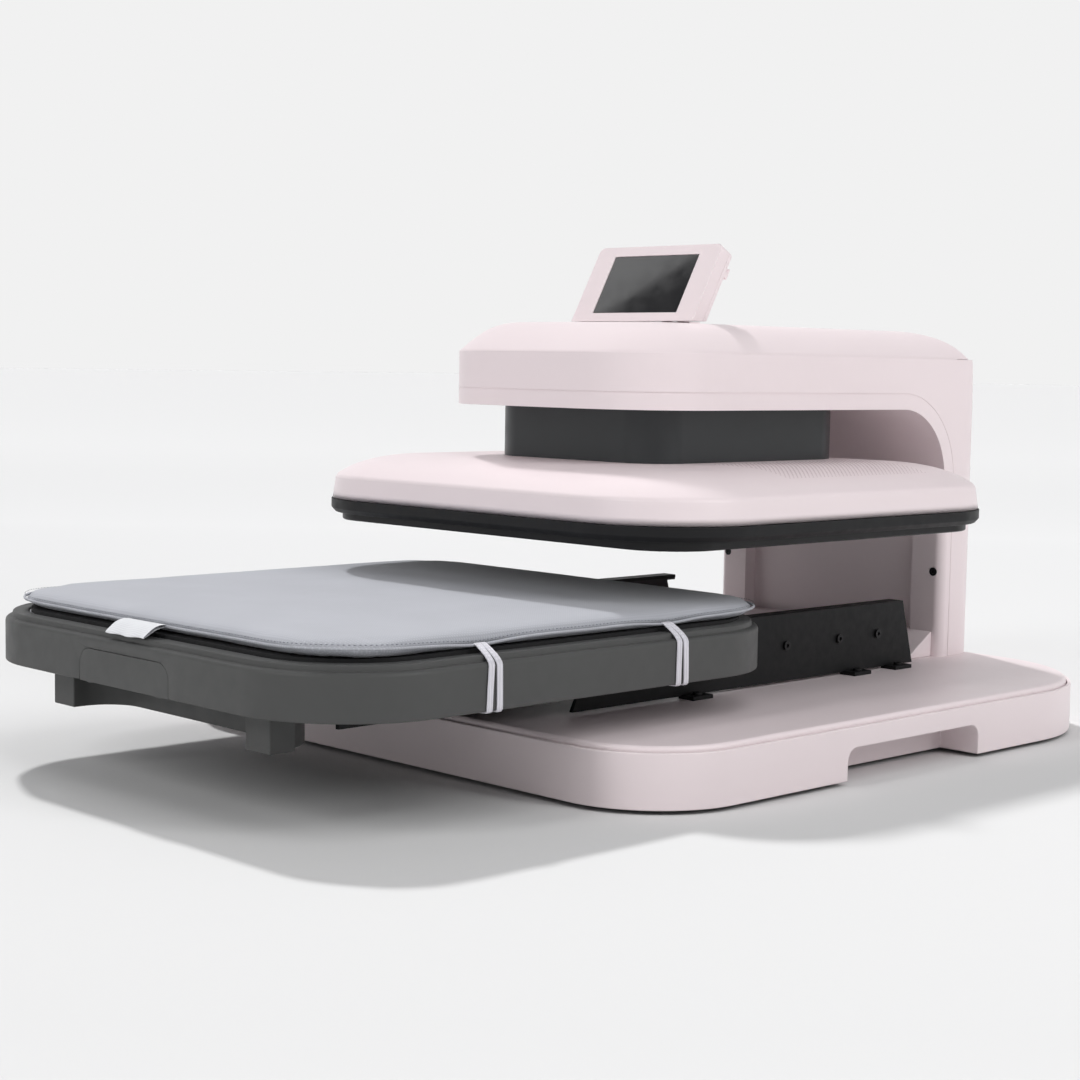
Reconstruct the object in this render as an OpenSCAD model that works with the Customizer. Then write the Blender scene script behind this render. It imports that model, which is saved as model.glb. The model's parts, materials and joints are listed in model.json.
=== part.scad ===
// Drawer-type heat press: a moving base tray slides under a motor-driven heat platen.
// Millimetres. +X is the operator's right, +Y the back, +Z up. The origin is on the
// bench under the centre of the heat plate. Drawn with the tray pulled fully out.

/* [Base] */
// Half width of the base housing
base_hw = 277; // [260:1:290]
// Front edge of the base housing
base_front = -293; // [-310:1:-280]
// Rear edge of the base housing
base_back = 287; // [283:1:300]
// Radius of the base's front corners, in plan
base_r = 78; // [50:1:90]
// Radius of the base's rear corners, in plan
base_back_r = 128; // [60:1:130]
// Height of the rubber feet
foot_h = 3; // [2:0.5:8]
// Top edge of the base wall, where the cover starts
base_wall_top = 41; // [36:1:44]
// Top face of the base cover
base_top = 45; // [43:1:48]
// Thickness of the moulded covers
wall = 3; // [2:0.5:3]

/* [Column and head] */
// Half width of the column and head
head_hw = 125; // [123:1:130]
// Front face of the head
head_front = -143; // [-160:1:-140]
// Underside of the head
head_bottom = 258.6; // [256:0.1:262]
// Seam between the side cover and the top cover
head_seam = 301.5; // [300:0.5:304]
// Top of the head
head_top = 325; // [320:1:330]
// Corner radius at the front of the head, in plan
head_r = 70; // [50:1:80]
// Front face of the column
column_front = 231; // [229:1:234]
// Radius where the column turns into the underside of the head
throat_r = 60; // [40:1:70]
// Height of the lining's visible edge, beside the throat
lining_w = 13; // [10:0.5:16]

/* [Platen] */
// Half width of the heat plate
plate_hw = 195; // [190:1:197]
// Half depth of the heat plate
plate_hd = 193; // [188:1:195]
// Underside of the heat plate when it is raised
plate_bottom = 162; // [161:0.5:164]
// Half width of the black trim round the heat plate
trim_hw = 212; // [208:1:216]
// Front edge of the trim
trim_front = -212; // [-216:1:-208]
// Rear edge of the trim
trim_back = 214; // [210:1:218]
// Top of the platen cover
cover_top = 217; // [215:1:219]
// Half width of the shroud between head and platen
shroud_hw = 92; // [90:1:93]
// How far the platen comes down
press_stroke = 38; // [30:1:38]

/* [Tray] */
// Half width of the tray
tray_hw = 213; // [205:1:216]
// Front edge of the tray, pulled out
tray_front = -508; // [-512:1:-500]
// Rear edge of the tray, pulled out
tray_back = -64; // [-66:1:-62]
// Corner radius of the tray in plan
tray_r = 85; // [60:1:90]
// Bottom edge of the tray wall
tray_bottom = 74.5; // [73:0.5:77]
// Top edge of the tray wall
tray_top = 105.5; // [104:0.5:107]
// Distance the tray slides to the closed position
tray_travel = 286; // [250:1:286]
// Half width of the pressing mat
mat_hw = 199; // [195:1:204]
// Highest point of the pressing mat
mat_top = 123; // [120:0.5:123]

/* [Slides] */
// Length of each telescopic slide
slide_len = 300; // [290:1:300]
// Height of the slide's outer member
slide_h = 44; // [40:1:44]
// Height of the slide's centre line
slide_z = 75; // [74:0.5:76]
// Outer face of the rail brackets
bracket_x = 135; // [133:1:140]

/* [Lift drive] */
// Gear module of the rack and pinion
gear_module = 1.75; // [1.75:0.05:1.8]
// Teeth on each pinion
pinion_teeth = 14; // [13:1:14]
// Guide rod radius
rod_r = 6; // [5:0.5:7]

/* [Screen] */
// Half width of the screen housing
screen_hw = 67; // [60:1:70]
// Height of the screen housing along its face
screen_len = 71; // [66:1:74]
// Thickness of the screen housing
screen_t = 15; // [12:0.5:16]
// Lean of the screen from upright, in degrees
screen_lean = 29.3; // [20:0.1:35]

/* [Hidden] */
$fn = 64;

PINK = [0.93, 0.86, 0.87];
BLACK = [0.09, 0.09, 0.10];
GREY = [0.30, 0.30, 0.30];
STEEL = [0.62, 0.64, 0.66];
ZINC = [0.74, 0.76, 0.78];

foot_x = 225;
foot_y = 230;
foot_r = 14;
foot_hole_r = 2.75;
cover_inset = 3.8;          // the base cover lies inside the base wall
cover_under = base_top - wall;
grip_front = -93;           // hand grips in the sides of the base
grip_back = 67;
grip_depth = 34;
grip_top = 26;
grip_r = 10;
floor_z = foot_h + 2;       // top of the bottom plate

recess_hw = 94;             // shallow recess down the front of the column
recess_depth = 14;
recess_low = 67;
recess_high = 190;
column_back_r = 30;
column_edge_r = 8;
seam_gap = 0.8;             // shadow gap between neighbouring covers
rear_arc_y = -519.2;        // the column's back is one shallow arc
rear_arc_z = 118.4;
rear_arc_r = 808.5;
crown_r = 40;               // where the back turns over into the top
crown_y = 232;
crown_z = head_top - crown_r;
throat_y = column_front - throat_r;
throat_z = head_bottom - throat_r;
post_in = 99;
post_out = 119;
post_front = 237;
post_back = 262;
post_top = 298;
arm_bottom = 276;
arm_top = 300;
column_screw_x = 116;
column_screw_z = 118.5;

panel_y = 277;              // outer face of the rear connection panel
panel_low = 60;
panel_high = 120;
inlet_x = -24;
inlet_z = 90;
switch_x = 26;
fan_z = 195;
fan_y = 262;
fan_t = 15;
fan_half = 30;

plate_top = plate_bottom + 11;
trim_bottom = plate_bottom + 7;
trim_top = trim_bottom + 11;
trim_r = 85;
plate_r = 45;
crest_z = trim_top + 18;    // where the platen cover's wall turns into its slope
heater_r = 3;
heater_pitch = 40;
heater_rows = 8;
heater_hw = 140;
insulation_z = plate_top + 8;
insulation_t = 8;
support_z = plate_top + 17;
support_t = 6;
standoff_r = 6;
shroud_front = -101;
shroud_back = 135;
shroud_r = 33;
shroud_t = 2.5;
shroud_top = 299;

drive_y = 17;               // centre of the lift drive
shaft_z = 250;
frame_low = 226;
frame_t = 5;
frame_side = 78;
frame_side_t = 4;
rod_x = 62;
rod_dy = 70;
bushing_r = 10.5;
shaft_r = 5;
pinion_x = 50;
rack_w = 10;
press_angle = 25;
pitch_r = gear_module * pinion_teeth / 2;
addendum = 0.9 * gear_module;
dedendum = 1.2 * gear_module;
backlash = 0.3;
tooth_pitch = PI * gear_module;

ledge_inset = 5;            // the tray's raised ledge stands in from its wall
ledge_top = tray_top + 4;
tray_wall = 3.5;
tray_floor = tray_top - 3;
bed_z = tray_top + 0.5;
bed_t = 2.5;
pad_t = 3;
mat_front = tray_front + 18;
mat_back = tray_back - 5;
mat_low = bed_z + bed_t + pad_t;
mat_r = 56;
pull_hw = 53;               // access panel in the middle of the tray's front
pull_top = tray_bottom + 23;
pull_r = 12;
handle_low = base_top + 1.5;
handle_front = tray_front + 25;
handle_leg_in = 101;
handle_leg_out = 127;
handle_t = 20;
handle_back = handle_front + 35;
handle_r = 26;
strap_y = [-87, 87];
strap_w = 5;
strap_gap = 2;
strap_t = 1.2;

slide_front = -137;         // front end of the fixed slide members
slide_t = 1.5;
slide_out = bracket_x - wall;
slide_in = slide_out - 12.5;
ball_r = 1.6;
bracket_low = base_top + 2;
bracket_high = 100;
middle_travel = tray_travel / 2;
frame_out = slide_in;       // outer face of the tray's steel side plates

screen_y = -32.5;           // front bottom edge of the screen housing
screen_z = head_top + 2;
hinge_y = -9;
hinge_z = head_top + 6.5;
hinge_r = 1.5;
knuckle_r = 2.9;

// ---------------------------------------------------------------- shared shapes

// Rounded rectangle in plan, centred on X, with its own front and back corner radii.
module plan(hw, y0, y1, rf, rb) {
    translate([-hw, y0 + rf]) square([2 * hw, y1 - y0 - rf - rb]);
    translate([-(hw - rf), y0]) square([2 * (hw - rf), rf]);
    translate([-(hw - rb), y1 - rb]) square([2 * (hw - rb), rb]);
    for (s = [-1, 1]) {
        translate([s * (hw - rf), y0 + rf]) circle(rf);
        translate([s * (hw - rb), y1 - rb]) circle(rb);
    }
}

// Upright slab with a rounded plan.
module slab(hw, y0, y1, rf, rb, z0, z1)
    translate([0, 0, z0]) linear_extrude(z1 - z0) plan(hw, y0, y1, rf, rb);

// Box from its two opposite corners.
module block(a, b)
    translate(a) cube(b - a);

// Box and its mirror image in the X = 0 plane.
module block_pair(a, b)
    for (s = [0, 1]) mirror([s, 0, 0]) block(a, b);

// A profile drawn in (Y, Z), extruded along X from x0 to x1.
module across(x0, x1)
    translate([x0, 0, 0]) rotate([90, 0, 90]) linear_extrude(x1 - x0) children();

// Cylinder along X, or along Y, from its start point.
module rod_x_dir(p, r, len) translate(p) rotate([0, 90, 0]) cylinder(r = r, h = len);
module rod_y_dir(p, r, len) translate(p) rotate([-90, 0, 0]) cylinder(r = r, h = len);

// Socket-head screw lying along +Z, its seat at the origin.
module screw(r, head_h, shank_r, shank_l) {
    difference() {
        cylinder(r = r, h = head_h);
        translate([0, 0, head_h * 0.4]) cylinder(r = r * 0.5, h = head_h, $fn = 6);
    }
    translate([0, 0, -shank_l]) cylinder(r = shank_r, h = shank_l);
}

// Thin plan slab for a lofted, domed cover.
module layer(hw, y0, y1, rf, rb, z)
    translate([0, 0, z]) linear_extrude(0.2) plan(hw, y0, y1, rf, rb, $fn = 32);

// ---------------------------------------------------------------- base

module rubber_feet() color(BLACK)
    for (x = [-foot_x, foot_x], y = [-foot_y, foot_y]) translate([x, y, 0]) difference() {
        cylinder(r = foot_r, h = foot_h);
        translate([0, 0, -1]) cylinder(r = foot_hole_r, h = foot_h + 2);
    }

// Space of one hand grip, on the right, from low up; t grows it into the wall around it.
module grip(t, low, outer) {
    grip_in = base_hw - grip_depth;
    translate([grip_in - t, 0, 0]) rotate([90, 0, 90]) linear_extrude(outer - grip_in + t) {
        translate([grip_front - t, low])
            square([grip_back - grip_front + 2 * t, grip_top - low - grip_r]);
        translate([grip_front + grip_r, low])
            square([grip_back - grip_front - 2 * grip_r, grip_top - low + t]);
        for (y = [grip_front + grip_r, grip_back - grip_r])
            translate([y, grip_top - grip_r]) circle(grip_r + t);
    }
}

module bottom_plate() color(BLACK) difference() {
    slab(base_hw - wall - 0.5, base_front + wall + 0.5, base_back - wall - 0.5,
         base_r - wall, base_back_r - wall, foot_h, floor_z);
    for (s = [0, 1]) mirror([s, 0, 0]) block(
        [base_hw - grip_depth - wall - 0.5, grip_front - wall - 0.5, 0],
        [base_hw + 1, grip_back + wall + 0.5, floor_z + 1]);
    for (x = [-foot_x, foot_x], y = [-foot_y, foot_y])
        translate([x, y, 0]) cylinder(r = foot_hole_r, h = 20);
    for (i = [-3:3]) block([i * 20 - 4, -60, 0], [i * 20 + 4, 0, 20]);
}

module base_shell() color(PINK) difference() {
    union() {
        difference() {
            slab(base_hw, base_front, base_back, base_r, base_back_r, foot_h,
                 base_wall_top);
            slab(base_hw - wall, base_front + wall, base_back - wall, base_r - wall,
                 base_back_r - wall, 0, base_wall_top + 1);
        }
        for (s = [0, 1]) mirror([s, 0, 0]) grip(wall, foot_h, base_hw - wall / 2);
    }
    for (s = [0, 1]) mirror([s, 0, 0]) grip(0, foot_h - 2, base_hw + 2);
}

module base_cover() color(PINK) difference() {
    i = cover_inset;
    union() {
        slab(base_hw - i, base_front + i, base_back - i, base_r - i, base_back_r - i,
             base_wall_top - 3, base_top - 1.8);
        hull() {
            layer(base_hw - i, base_front + i, base_back - i, base_r - i,
                  base_back_r - i, base_top - 2);
            layer(base_hw - i - 5, base_front + i + 5, base_back - i - 5,
                  base_r - i - 5, base_back_r - i - 5, base_top - 0.2);
        }
    }
    slab(base_hw - i - wall, base_front + i + wall, base_back - i - wall,
         base_r - i - wall, base_back_r - i - wall, 0, cover_under);
    block_pair([post_in - 0.5, post_front - 0.5, 0], [post_out + 0.5, post_back + 0.5, 60]);
    block([-60, 252, 0], [60, 272, 60]);
}

// Welded steel frame inside the base: two long bars and two cross bars.
module base_frame() color(STEEL) {
    difference() {
        union() {
            block_pair([120, -235, floor_z], [150, 276, cover_under]);
            block([-120, -205, floor_z], [120, -175, cover_under]);
            block([-120, 232, floor_z], [120, 276, cover_under]);
        }
        block_pair([122, -236, floor_z + 2], [148, 277, cover_under - 2]);
        block([-121, -203, floor_z + 2], [121, -177, cover_under - 2]);
        block([-121, 234, floor_z + 2], [121, 274, cover_under - 2]);
        block([-60, 252, 0], [60, 272, 60]);
    }
}

module power_supply() color(STEEL) difference() {
    block([-235, 80, floor_z], [-160, 200, 36]);
    for (i = [0:7]) block([-228 + i * 8, 100, 34], [-224 + i * 8, 180, 37]);
}

// ---------------------------------------------------------------- rails and slides

// Side view of one rail bracket: both ends lean inwards towards the top.
module bracket_outline()
    polygon([[-226, bracket_low], [178, bracket_low], [163, bracket_high],
             [-200, bracket_high]]);

module rail_bracket() color(BLACK) difference() {
    union() {
        across(slide_out, bracket_x) bracket_outline();
        block([slide_in + 1, -170, bracket_high - wall], [bracket_x, 163, bracket_high]);
        for (y = [-100, 95, 150])
            block([slide_out, y - 11, base_top], [bracket_x + 12, y + 11, bracket_low + 1]);
    }
    for (y = rail_screw_y()) rod_x_dir([slide_out - 1, y, slide_z], 2.1, 6);
    for (y = [-100, 95, 150]) translate([bracket_x + 6, y, base_top - 1])
        cylinder(r = 2.1, h = 6);
}
module rail_bracket_right() rail_bracket();
module rail_bracket_left() mirror([1, 0, 0]) rail_bracket();
function rail_screw_y() = [-100, 10, 77, 128];

module rail_screws() color(BLACK) for (s = [0, 1]) mirror([s, 0, 0]) {
    for (y = rail_screw_y()) translate([bracket_x, y, slide_z]) rotate([0, 90, 0])
        screw(3.6, 2, 1.9, 4);
    for (y = [-100, 95, 150]) translate([bracket_x + 6, y, bracket_low + 1])
        screw(3.6, 2, 1.9, 3);
}

// C-shaped slide member: web at x0, flanges towards x1, on the right.
module slide_channel(web, lip, h, y0) {
    t = web < lip ? slide_t : -slide_t;
    lo = slide_z - h / 2;
    block([min(web, web + t), y0, lo], [max(web, web + t), y0 + slide_len, lo + h]);
    for (z = [lo, lo + h - slide_t])
        block([min(web, lip), y0, z], [max(web, lip), y0 + slide_len, z + slide_t]);
}
module both_sides() for (s = [0, 1]) mirror([s, 0, 0]) children();

module slide_outer_members() color(BLACK) both_sides() difference() {
    slide_channel(slide_out, slide_in + 1.5, slide_h, slide_front);
    for (y = rail_screw_y()) rod_x_dir([slide_out - 3, y, slide_z], 2.1, 6);
}
module slide_middle() color(BLACK)
    slide_channel(slide_out - 4.4, slide_in + 2.2, slide_h - 10, slide_front - middle_travel);
module slide_middle_right() slide_middle();
module slide_middle_left() mirror([1, 0, 0]) slide_middle();
module slide_inner_members() color(BLACK) both_sides()
    slide_channel(slide_in, slide_out - 6.8, slide_h - 20, slide_front - tray_travel);

// Two rows of balls between each pair of members, carried by the middle ones.
module slide_balls() color(STEEL) both_sides() {
    outer_gap = slide_h / 2 - slide_t - 1.75;
    inner_gap = slide_h / 2 - 5 - slide_t - 1.75;
    for (k = [0:4], s = [-1, 1]) {
        translate([slide_out - 6.5, -105 + k * 26, slide_z + s * outer_gap]) sphere(ball_r);
        translate([slide_in + 4, -268 + k * 32, slide_z + s * inner_gap]) sphere(ball_r);
    }
}

// ---------------------------------------------------------------- column and head

// Side silhouette of column and head as one solid block, t inside the true surface.
module silhouette(t) {
    translate([head_front + t, base_top])
        square([crown_y - head_front - t, head_top - t - base_top]);
    translate([crown_y, crown_z]) circle(crown_r - t);
    intersection() {
        translate([crown_y - 1, base_top]) square([70, crown_z - base_top]);
        translate([rear_arc_y, rear_arc_z]) circle(rear_arc_r - t, $fn = 360);
    }
}

// Air of the throat, below the head and before the column, grown by t.
module throat(t) {
    translate([-400, 0]) square([400 + throat_y, head_bottom + t]);
    translate([-400, 0]) square([400 + column_front + t, throat_z]);
    translate([throat_y, throat_z]) circle(throat_r + t);
}

module tower(t) intersection() {
    slab(head_hw - t, head_front + t, base_back + 3 - t, head_r - t, column_back_r - t,
         base_top, head_top);
    across(-head_hw, head_hw) silhouette(t);
}

// Rounds the two front edges of the column.
module column_edges() for (s = [0, 1]) mirror([s, 0, 0]) difference() {
    block([head_hw - column_edge_r, column_front - 1, base_top - 1],
          [head_hw + 1, column_front + column_edge_r, throat_z]);
    translate([head_hw - column_edge_r, column_front + column_edge_r, 0])
        cylinder(r = column_edge_r, h = head_top);
}

module inner_cover() color(PINK) difference() {
    union() {
        difference() {
            tower(0);
            across(-200, 200) throat(0);
            difference() {
                tower(wall);
                across(-200, 200) throat(wall);
            }
            difference() {
                translate([-200, -400, 0]) cube([400, 800, 400]);
                across(-201, 201) throat(lining_w - seam_gap / 2);
            }
        }
        block([-recess_hw - wall, column_front, recess_low - wall],
              [recess_hw + wall, column_front + recess_depth + wall, recess_high + wall]);
    }
    block([-recess_hw, column_front - 1, recess_low],
          [recess_hw, column_front + recess_depth, recess_high]);
    slab(shroud_hw + 1.5, shroud_front - 1.5, shroud_back + 1.5, shroud_r + 1.5,
         shroud_r + 1.5, head_bottom - 1, head_bottom + wall + 1);
    column_edges();
    for (x = [-column_screw_x, column_screw_x]) {
        rod_y_dir([x, column_front - 1, column_screw_z], 4, 2.8);
        rod_y_dir([x, column_front - 1, column_screw_z], 2.2, 6);
    }
}

module outer_cover() color(PINK) difference() {
    tower(0);
    tower(wall);
    across(-200, 200) throat(lining_w + seam_gap / 2);
    block([-200, -400, head_seam - seam_gap / 2], [200, 400, 400]);
    block([-50, 268, panel_low + 4], [50, 300, panel_high - 4]);
    for (i = [-3:3]) block([i * 8 - 2, 270, fan_z - 24], [i * 8 + 2, 300, fan_z + 24]);
    for (i = [0:5]) block([-40, 255, 242 + i * 7], [40, 300, 245 + i * 7]);
}

// Domed top cover, lofted through a few slabs; t is the wall it loses inside.
module crown(t) hull()
    for (p = [[1.5, 0, 0, 0], [12, 10.5, 4, 0.5], [23, 18.5, 16, 1], [40, 23.3, 36, 1]])
        layer(head_hw - p[0] - t, head_front + p[0] + t, 268 - p[2] - t, head_r - p[0],
              max(5, column_back_r - p[0]), head_seam + p[1] - t * p[3]);
module head_top_cover() color(PINK) difference() {
    crown(0);
    translate([0, 0, -0.5]) crown(wall);
    block([-100, -100, head_seam - 1], [100, 100, head_seam + 0.2]);
}

module foot_ramp() color(PINK)
    across(-117, 117) polygon([[195, base_top], [column_front, base_top],
                               [column_front, recess_low]]);

module column_posts() color(STEEL) both_sides() difference() {
    block([post_in, post_front, cover_under], [post_out, post_back, post_top]);
    block([post_in + 2, post_front + 2, 0], [post_out - 2, post_back - 2, 400]);
}

module head_arms() color(STEEL) both_sides() difference() {
    block([post_in, -80, arm_bottom], [post_out, post_front, arm_top]);
    block([post_in + 2, -90, arm_bottom + 2], [post_out - 2, post_front + 1, arm_top - 2]);
}

module column_screws() color(BLACK)
    for (x = [-column_screw_x, column_screw_x])
        translate([x, column_front + 1.8, column_screw_z]) rotate([90, 0, 0])
            screw(3.6, 1.5, 2, 4);

// ---------------------------------------------------------------- rear panel and electrics

module rear_panel() color(BLACK) difference() {
    block([-54, panel_y - wall, panel_low], [54, panel_y, panel_high]);
    block([inlet_x - 13.7, 260, inlet_z - 10.2], [inlet_x + 13.7, 290, inlet_z + 10.2]);
    block([switch_x - 9.8, 260, inlet_z - 6.6], [switch_x + 9.8, 290, inlet_z + 6.6]);
}

module power_inlet() color(BLACK) {
    difference() {
        union() {
            block([inlet_x - 13.5, 255, inlet_z - 10], [inlet_x + 13.5, panel_y, inlet_z + 10]);
            block([inlet_x - 16, panel_y, inlet_z - 12.5],
                  [inlet_x + 16, panel_y + 2, inlet_z + 12.5]);
        }
        block([inlet_x - 12, 261, inlet_z - 8.2], [inlet_x + 12, 290, inlet_z + 8.2]);
    }
    for (p = [[-7, -3], [7, -3], [0, 4.5]])
        block([inlet_x + p[0] - 1, 261, inlet_z + p[1] - 2],
              [inlet_x + p[0] + 1, 276, inlet_z + p[1] + 2]);
}

module switch_body() color(BLACK) difference() {
    union() {
        block([switch_x - 9.6, 256, inlet_z - 6.4], [switch_x + 9.6, panel_y, inlet_z + 6.4]);
        block([switch_x - 11.5, panel_y, inlet_z - 8],
              [switch_x + 11.5, panel_y + 2, inlet_z + 8]);
    }
    block([switch_x - 8.4, 263, inlet_z - 5.4], [switch_x + 8.4, 290, inlet_z + 5.4]);
    translate([switch_x, panel_y - 3, inlet_z - 10]) cylinder(r = 1.05, h = 20);
}

// Rocker that tips about an axle along Z.
module switch_rocker() color([0.75, 0.10, 0.10]) translate([switch_x, panel_y - 3, inlet_z]) {
    translate([0, 0, -5]) linear_extrude(10)
        polygon([[-7.2, 2.5], [-7.2, 6.5], [0, 4.6], [8, 3.4], [7.4, 0.5], [2, -3], [-2, -3]]);
    translate([0, 0, -6.2]) cylinder(r = 1, h = 12.4);
}

module control_board() {
    color([0.05, 0.30, 0.14]) block([-80, 251.5, 140], [80, 253.1, 272]);
    color(BLACK) for (p = [[-60, 150, 30, 22], [-15, 150, 26, 22], [28, 152, 34, 18],
                           [-60, 236, 22, 26], [-10, 238, 40, 14]])
        block([p[0], 253.1, p[1]], [p[0] + p[2], 259, p[1] + p[3]]);
}

module fan_frame() color(BLACK) translate([0, fan_y, fan_z]) rotate([-90, 0, 0]) {
    difference() {
        translate([-fan_half, -fan_half, 0]) cube([2 * fan_half, 2 * fan_half, fan_t]);
        translate([0, 0, -1]) cylinder(r = 28, h = fan_t + 2);
    }
    difference() {
        union() {
            cylinder(r = 9, h = 1.6);
            for (a = [45, 165, 285]) rotate(a) translate([0, -1.5, 0]) cube([29, 3, 1.6]);
        }
        translate([0, 0, -1]) cylinder(r = 2.05, h = 4);
    }
}

module fan_rotor() color(BLACK) translate([0, fan_y, fan_z]) rotate([-90, 0, 0]) {
    translate([0, 0, 2.2]) cylinder(r = 11, h = 11);
    translate([0, 0, 0.3]) cylinder(r = 2, h = 2);
    for (a = [0:51.43:359]) rotate(a) translate([10, -0.6, 3]) rotate([35, 0, 0])
        translate([0, 0, -0.5]) cube([16.5, 1.2, 9]);
}

// ---------------------------------------------------------------- lift drive

module drive_frame() color(STEEL) difference() {
    union() {
        block([-post_out + 6, -65, arm_top], [post_out - 6, 99, arm_top + frame_t]);
        block_pair([frame_side, -50, frame_low + frame_t],
                   [frame_side + frame_side_t, 84, arm_top]);
        block([-frame_side - frame_side_t, -70, frame_low],
              [frame_side + frame_side_t, 104, frame_low + frame_t]);
    }
    for (x = [-rod_x, rod_x], y = [-rod_dy, rod_dy])
        translate([x, drive_y + y, frame_low - 1]) cylinder(r = bushing_r + 0.05, h = 10);
    block_pair([pinion_x - 7, -11, frame_low - 1], [pinion_x + 7, 9, frame_low + 10]);
    rod_x_dir([-100, drive_y, shaft_z], 9.05, 200);
}

module linear_bushings() color(ZINC)
    for (x = [-rod_x, rod_x], y = [-rod_dy, rod_dy]) translate([x, drive_y + y, 0])
        difference() {
            translate([0, 0, 221]) cylinder(r = bushing_r, h = 35);
            translate([0, 0, 220]) cylinder(r = rod_r + 0.06, h = 40);
        }

module guide_rods() color(ZINC)
    for (x = [-rod_x, rod_x], y = [-rod_dy, rod_dy]) translate([x, drive_y + y, 0])
        translate([0, 0, support_z + support_t]) cylinder(r = rod_r, h = 298 - support_z - support_t);

module gearmotor() color(GREY) difference() {
    union() {
        block([-28, -12, 233], [28, 46, 296]);
        rod_y_dir([0, 46, 270], 19, 54);
        rod_y_dir([0, 100, 270], 8, 6);
    }
    rod_x_dir([-40, drive_y, shaft_z], 8.3, 80);
}

module shaft_bearings() color(ZINC) both_sides() difference() {
    rod_x_dir([frame_side - 2, drive_y, shaft_z], 9, frame_side_t + 4);
    rod_x_dir([frame_side - 3, drive_y, shaft_z], shaft_r + 0.06, frame_side_t + 6);
}

module pinion_shaft() color(ZINC) {
    rod_x_dir([-86, drive_y, shaft_z], shaft_r, 172);
    rod_x_dir([-27, drive_y, shaft_z], 8, 54);
}

// Involute tooth flank: polar angle (degrees) of the flank at radius r.
base_circle = pitch_r * cos(press_angle);
function inv_deg(r) = let (q = sqrt(max(0, pow(r / base_circle, 2) - 1)))
    q * 180 / PI - atan(q);
tooth_half_deg = 90 / pinion_teeth - backlash / 2 / pitch_r * 180 / PI + inv_deg(pitch_r);
flank_steps = 6;
root_r = pitch_r - dedendum;
tip_r = pitch_r + addendum;
function flank_r(i) = i == 0 ? root_r
    : base_circle + (tip_r - base_circle) * (i - 1) / (flank_steps - 1);
function tooth_points(a) = concat(
    [for (i = [0:flank_steps]) let (r = flank_r(i), h = tooth_half_deg - inv_deg(r))
        [r * cos(a - h), r * sin(a - h)]],
    [for (i = [flank_steps:-1:0]) let (r = flank_r(i), h = tooth_half_deg - inv_deg(r))
        [r * cos(a + h), r * sin(a + h)]]);

module pinions() color(STEEL) both_sides() difference() {
    translate([0, drive_y, shaft_z]) across(pinion_x - rack_w / 2 - 0.5, pinion_x + rack_w / 2 + 0.5)
        polygon([for (k = [0:pinion_teeth - 1])
                 each tooth_points(180 + k * 360 / pinion_teeth)]);
    rod_x_dir([0, drive_y, shaft_z], shaft_r, 100);
}

// Rack teeth face the pinion; a space is level with the shaft when the platen is up.
module rack_profile() {
    pitch_y = drive_y - pitch_r;
    root_y = pitch_y - dedendum;
    half = tooth_pitch / 4 - backlash / 2;
    foot = support_z + support_t;
    first = -floor((shaft_z - foot) / tooth_pitch) + 1;
    last = floor((298 - shaft_z) / tooth_pitch) - 2;
    translate([-8, foot]) square([root_y + 8, 298 - foot]);
    for (k = [first:last]) translate([pitch_y, shaft_z + (k + 0.5) * tooth_pitch])
        polygon([[-dedendum - 0.5, -half - dedendum * tan(press_angle)],
                 [-dedendum, -half - dedendum * tan(press_angle)],
                 [addendum, -half + addendum * tan(press_angle)],
                 [addendum, half - addendum * tan(press_angle)],
                 [-dedendum, half + dedendum * tan(press_angle)],
                 [-dedendum - 0.5, half + dedendum * tan(press_angle)]]);
}
module lift_racks() color(STEEL) both_sides()
    across(pinion_x - rack_w / 2, pinion_x + rack_w / 2) rack_profile();

// ---------------------------------------------------------------- platen

module heat_plate() color(BLACK)
    slab(plate_hw, -plate_hd, plate_hd, plate_r, plate_r, plate_bottom, plate_top);

module heating_element() color(STEEL) translate([0, 0, plate_top + heater_r]) {
    for (i = [0:heater_rows - 1])
        rod_x_dir([-heater_hw, (i - (heater_rows - 1) / 2) * heater_pitch, 0], heater_r,
                  2 * heater_hw);
    for (i = [0:heater_rows - 2]) {
        right = i % 2 == 0;
        translate([right ? heater_hw : -heater_hw, (i - heater_rows / 2 + 1) * heater_pitch, 0])
            rotate(right ? -90 : 90) rotate_extrude(angle = 180)
                translate([heater_pitch / 2, 0]) circle(heater_r);
    }
}

module thermal_sensors() color(ZINC) {
    translate([60, 0, plate_top]) cylinder(r = 8, h = 6);
    rod_x_dir([-40, 0, plate_top + 2.5], 2.5, 30);
}

module standoffs(r, z0, z1)
    for (x = [-120, 120], y = [-3 * heater_pitch, 3 * heater_pitch])
        translate([x, y, z0]) cylinder(r = r, h = z1 - z0);

module insulation_board() color([0.86, 0.84, 0.78]) difference() {
    slab(175, -173, 175, 30, 30, insulation_z, insulation_z + insulation_t);
    standoffs(standoff_r + 0.5, insulation_z - 1, insulation_z + insulation_t + 1);
}

module trim_band() color(BLACK) difference() {
    slab(trim_hw, trim_front, trim_back, trim_r, trim_r, trim_bottom, trim_top);
    slab(plate_hw + 0.4, -plate_hd - 0.4, plate_hd + 0.4, plate_r + 0.4, plate_r + 0.4,
         trim_bottom - 1, plate_top);
    slab(plate_hw - 12, -plate_hd + 12, plate_hd - 12, plate_r - 12, plate_r - 12,
         plate_top - 1, trim_top + 1);
}

module support_plate() color(STEEL) {
    difference() {
        slab(150, -130, 150, 20, 20, support_z, support_z + support_t);
        block([-30, -100, 0], [30, -70, 400]);
        block([-30, 110, 0], [30, 135, 400]);
    }
    standoffs(standoff_r, plate_top, support_z);
}

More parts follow.
